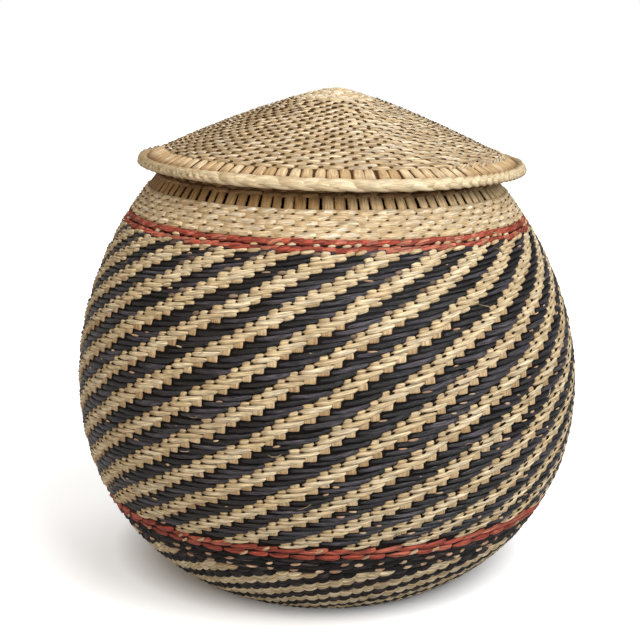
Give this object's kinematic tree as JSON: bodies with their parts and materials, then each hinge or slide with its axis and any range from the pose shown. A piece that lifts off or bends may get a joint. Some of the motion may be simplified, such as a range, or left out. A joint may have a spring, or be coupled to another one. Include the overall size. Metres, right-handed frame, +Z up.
{
  "type": "lidded woven basket",
  "caption": "Round twined basket with slanting dark and straw stripes, red bands, bare stakes at the neck and a low conical lift-off lid with a plaited edge.",
  "frame": {"origin": "centre of the flat base, on the ground", "axes": "+Z up the basket's axis; -Y is the side that the picture shows; the mouth and lid hang slightly low towards +X"},
  "size_m": [0.3498, 0.3498, 0.3457],
  "materials": {
    "straw_weft": "satin plant fibre, twined rows",
    "black_weft": "dyed plant fibre with a soft sheen, twined rows",
    "red_weft": "dyed plant fibre, matt, twined rows",
    "grey_lid_weft": "weathered plant fibre, open twined rows",
    "bare_stake": "flat split cane, satin, grain along its length",
    "braid_straw": "glossy pale straw, plaited"
  },
  "bodies": {
    "basket": {"base_start": "straw_weft", "base_weave": "black_weft", "foot_weave": "straw_weft", "flecked_band": "black_weft", "lower_red_band": "red_weft", "striped_wall": "black_weft", "upper_red_band": "red_weft", "neck_weave": "straw_weft", "neck_stakes": "bare_stake", "mouth_border": "straw_weft"},
    "lid": {"lid_start": "bare_stake", "lid_weave": "grey_lid_weft", "lid_stakes": "bare_stake", "lid_braid": "braid_straw"}
  },
  "joints": [
    {"name": "lid_lift", "type": "slide", "parent": "basket", "child": "lid", "axis": [0, 0, 1], "range_m": [0, 0.12]}
  ]
}
